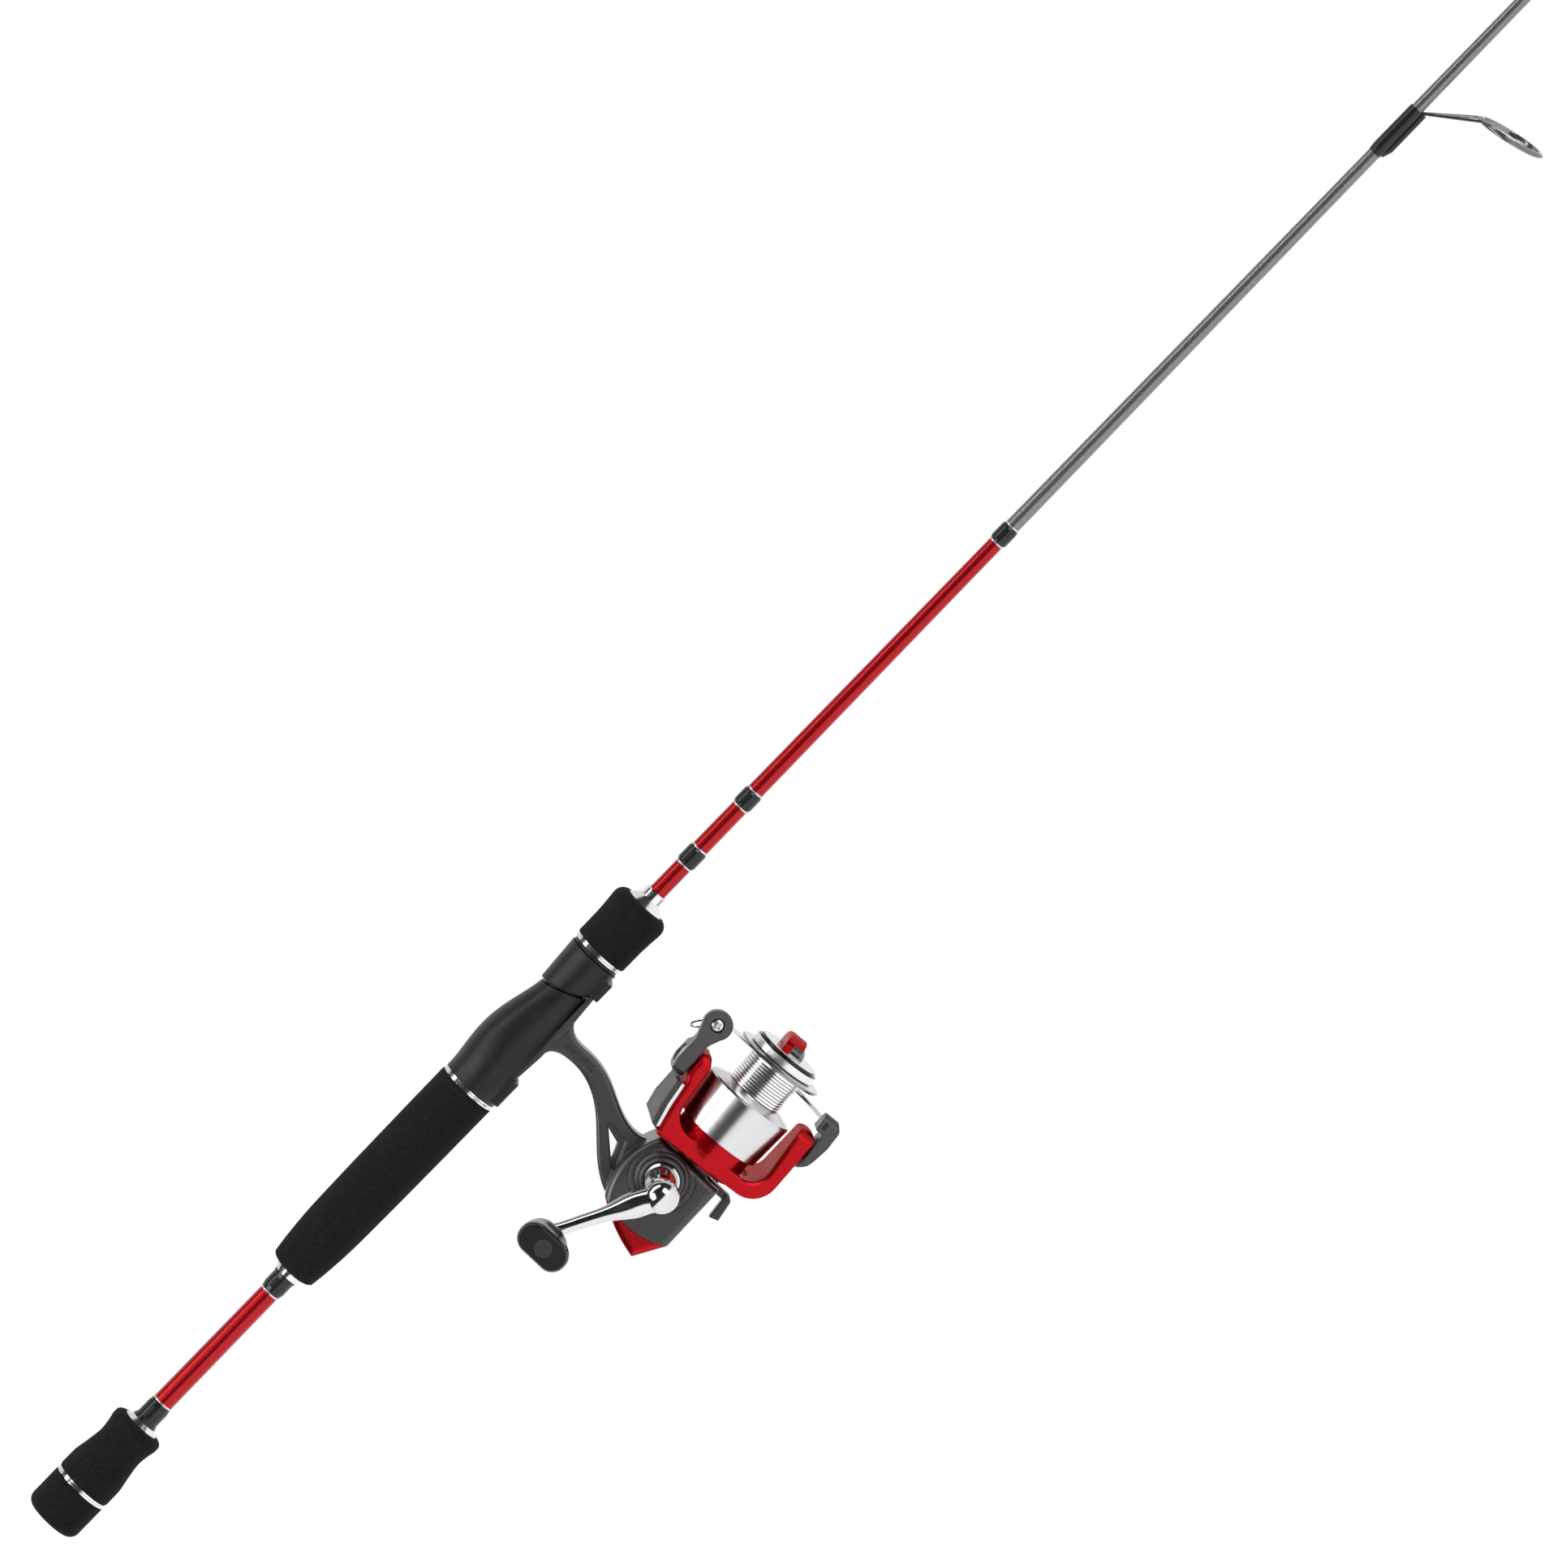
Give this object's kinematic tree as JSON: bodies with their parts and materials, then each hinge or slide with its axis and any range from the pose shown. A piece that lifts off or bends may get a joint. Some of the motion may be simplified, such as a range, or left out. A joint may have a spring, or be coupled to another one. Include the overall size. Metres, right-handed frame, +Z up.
{
  "type": "spinning rod and reel",
  "caption": "Light one-piece spinning rod with foam grips, sliding-hood reel seat and wire guides, carrying an open-face reel with a folding bail, ribbed spool and crank handle.",
  "frame": {"origin": "centre of the flat butt face, on the rod's axis", "axes": "+X along the rod from the butt to the tip, +Z up, the reel hangs below the rod and its handle is on the -Y side"},
  "size_m": [1.525, 0.1199, 0.1367],
  "materials": {
    "blank_red": "candy red metallic under clear coat, grey metallic beyond the colour wrap",
    "foam": "matt black closed-cell foam with fine pores",
    "polished": "polished",
    "wrap": "black thread under gloss epoxy",
    "band": "silver metallic thread under epoxy",
    "black_plastic": "satin moulded",
    "dark_steel": "dark plated wire",
    "ring": "polished grey ceramic",
    "gunmetal": "dark grey metallic paint",
    "red": "gloss red metallic paint",
    "chrome": "polished plating",
    "gear_metal": "die-cast",
    "brass": "machined",
    "steel": "machined",
    "washer": "felt and plastic washers, oiled",
    "grey_plastic": "silver-grey moulded dial",
    "knob": "dark moulded"
  },
  "bodies": {
    "rod": {"rod_blank": "blank_red", "butt_cap": "foam", "butt_trim_ring": "polished", "butt_grip": "foam", "butt_winding_check": "polished", "butt_wrap": "wrap", "rear_wrap": "wrap", "rear_winding_check": "polished", "rear_grip": "foam", "rear_trim_ring": "polished", "reel_seat": "black_plastic", "fore_wraps": "wrap", "colour_wrap": "wrap", "wrap_bands": "band", "stripper_frame": "dark_steel", "stripper_ring": "ring", "stripper_wrap": "wrap", "guide_2_frame": "dark_steel", "guide_3_frame": "dark_steel", "guide_4_frame": "dark_steel", "guide_5_frame": "dark_steel", "tip_top": "dark_steel", "tip_ring": "ring", "guide_rings": "ring", "guide_wraps": "wrap", "reel_body": "gunmetal", "rear_cover": "red", "side_cover": "gunmetal", "bearings": "steel"},
    "hood": {"sliding_hood": "black_plastic"},
    "nut": {"locking_nut": "black_plastic", "hood_trim_ring": "polished", "fore_grip": "foam", "fore_winding_check": "polished"},
    "drive": {"drive_gear": "gear_metal", "handle_shank": "chrome", "crank_arm": "chrome", "knob_pin": "steel", "shaft_cap": "black_plastic"},
    "knob": {"crank_knob": "knob", "knob_cap": "knob"},
    "rotor": {"rotor": "red", "rotor_nut": "brass", "arm_trim": "chrome", "arm_cover": "gunmetal", "pinion_gear": "brass", "bail_pivot_screws": "steel"},
    "bail": {"bail_arm": "gunmetal", "roller_screw": "steel", "bail_lever": "gunmetal", "bail_wire": "chrome"},
    "roller": {"line_roller": "chrome"},
    "shaft": {"main_shaft": "steel", "stroke_slider": "gear_metal"},
    "spool": {"spool": "polished", "drag_washers": "washer"},
    "drag": {"drag_knob": "grey_plastic", "drag_knob_cap": "red"},
    "stop": {"anti_reverse_lever": "black_plastic"}
  },
  "joints": [
    {"name": "hood_slide", "type": "slide", "parent": "rod", "child": "hood", "axis": [1, 0, 0], "range_m": [0, 0.012]},
    {"name": "nut_turn", "type": "hinge", "parent": "hood", "child": "nut", "pos_m": [0.335, 0, 0], "axis": [1, 0, 0], "range_deg": [0, 2880]},
    {"name": "crank_turn", "type": "hinge", "parent": "rod", "child": "drive", "pos_m": [0.275, 0, -0.0808], "axis": [0, 1, 0], "continuous": true},
    {"name": "knob_spin", "type": "hinge", "parent": "drive", "child": "knob", "pos_m": [0.23085, 0, -0.05733], "axis": [0, -1, 0], "continuous": true},
    {"name": "rotor_turn", "type": "hinge", "parent": "rod", "child": "rotor", "pos_m": [0.286, 0, -0.0877], "axis": [0.9981, 0, 0.061], "continuous": true},
    {"name": "bail_flip", "type": "hinge", "parent": "rotor", "child": "bail", "pos_m": [0.31894, 0, -0.08568], "axis": [0.0607, 0.1045, -0.9927], "range_deg": [0, 88]},
    {"name": "roller_spin", "type": "hinge", "parent": "bail", "child": "roller", "pos_m": [0.33552, -0.00324, -0.05378], "axis": [0.0064, -0.9945, -0.1043], "continuous": true},
    {"name": "spool_stroke", "type": "slide", "parent": "rod", "child": "shaft", "axis": [0.9981, 0, 0.061], "range_m": [-0.005, 0.004]},
    {"name": "spool_slip", "type": "hinge", "parent": "shaft", "child": "spool", "pos_m": [0.286, 0, -0.0877], "axis": [0.9981, 0, 0.061], "continuous": true},
    {"name": "drag_turn", "type": "hinge", "parent": "shaft", "child": "drag", "pos_m": [0.286, 0, -0.0877], "axis": [0.9981, 0, 0.061], "range_deg": [-360, 360]},
    {"name": "stop_flip", "type": "hinge", "parent": "rod", "child": "stop", "pos_m": [0.284, 0, -0.098], "axis": [1, 0, 0], "range_deg": [0, 30]}
  ],
  "couplings": [
    {"joint": "nut_turn", "follows": "hood_slide", "rad_per_m": 4188.8},
    {"joint": "rotor_turn", "follows": "crank_turn", "ratio": 5}
  ]
}
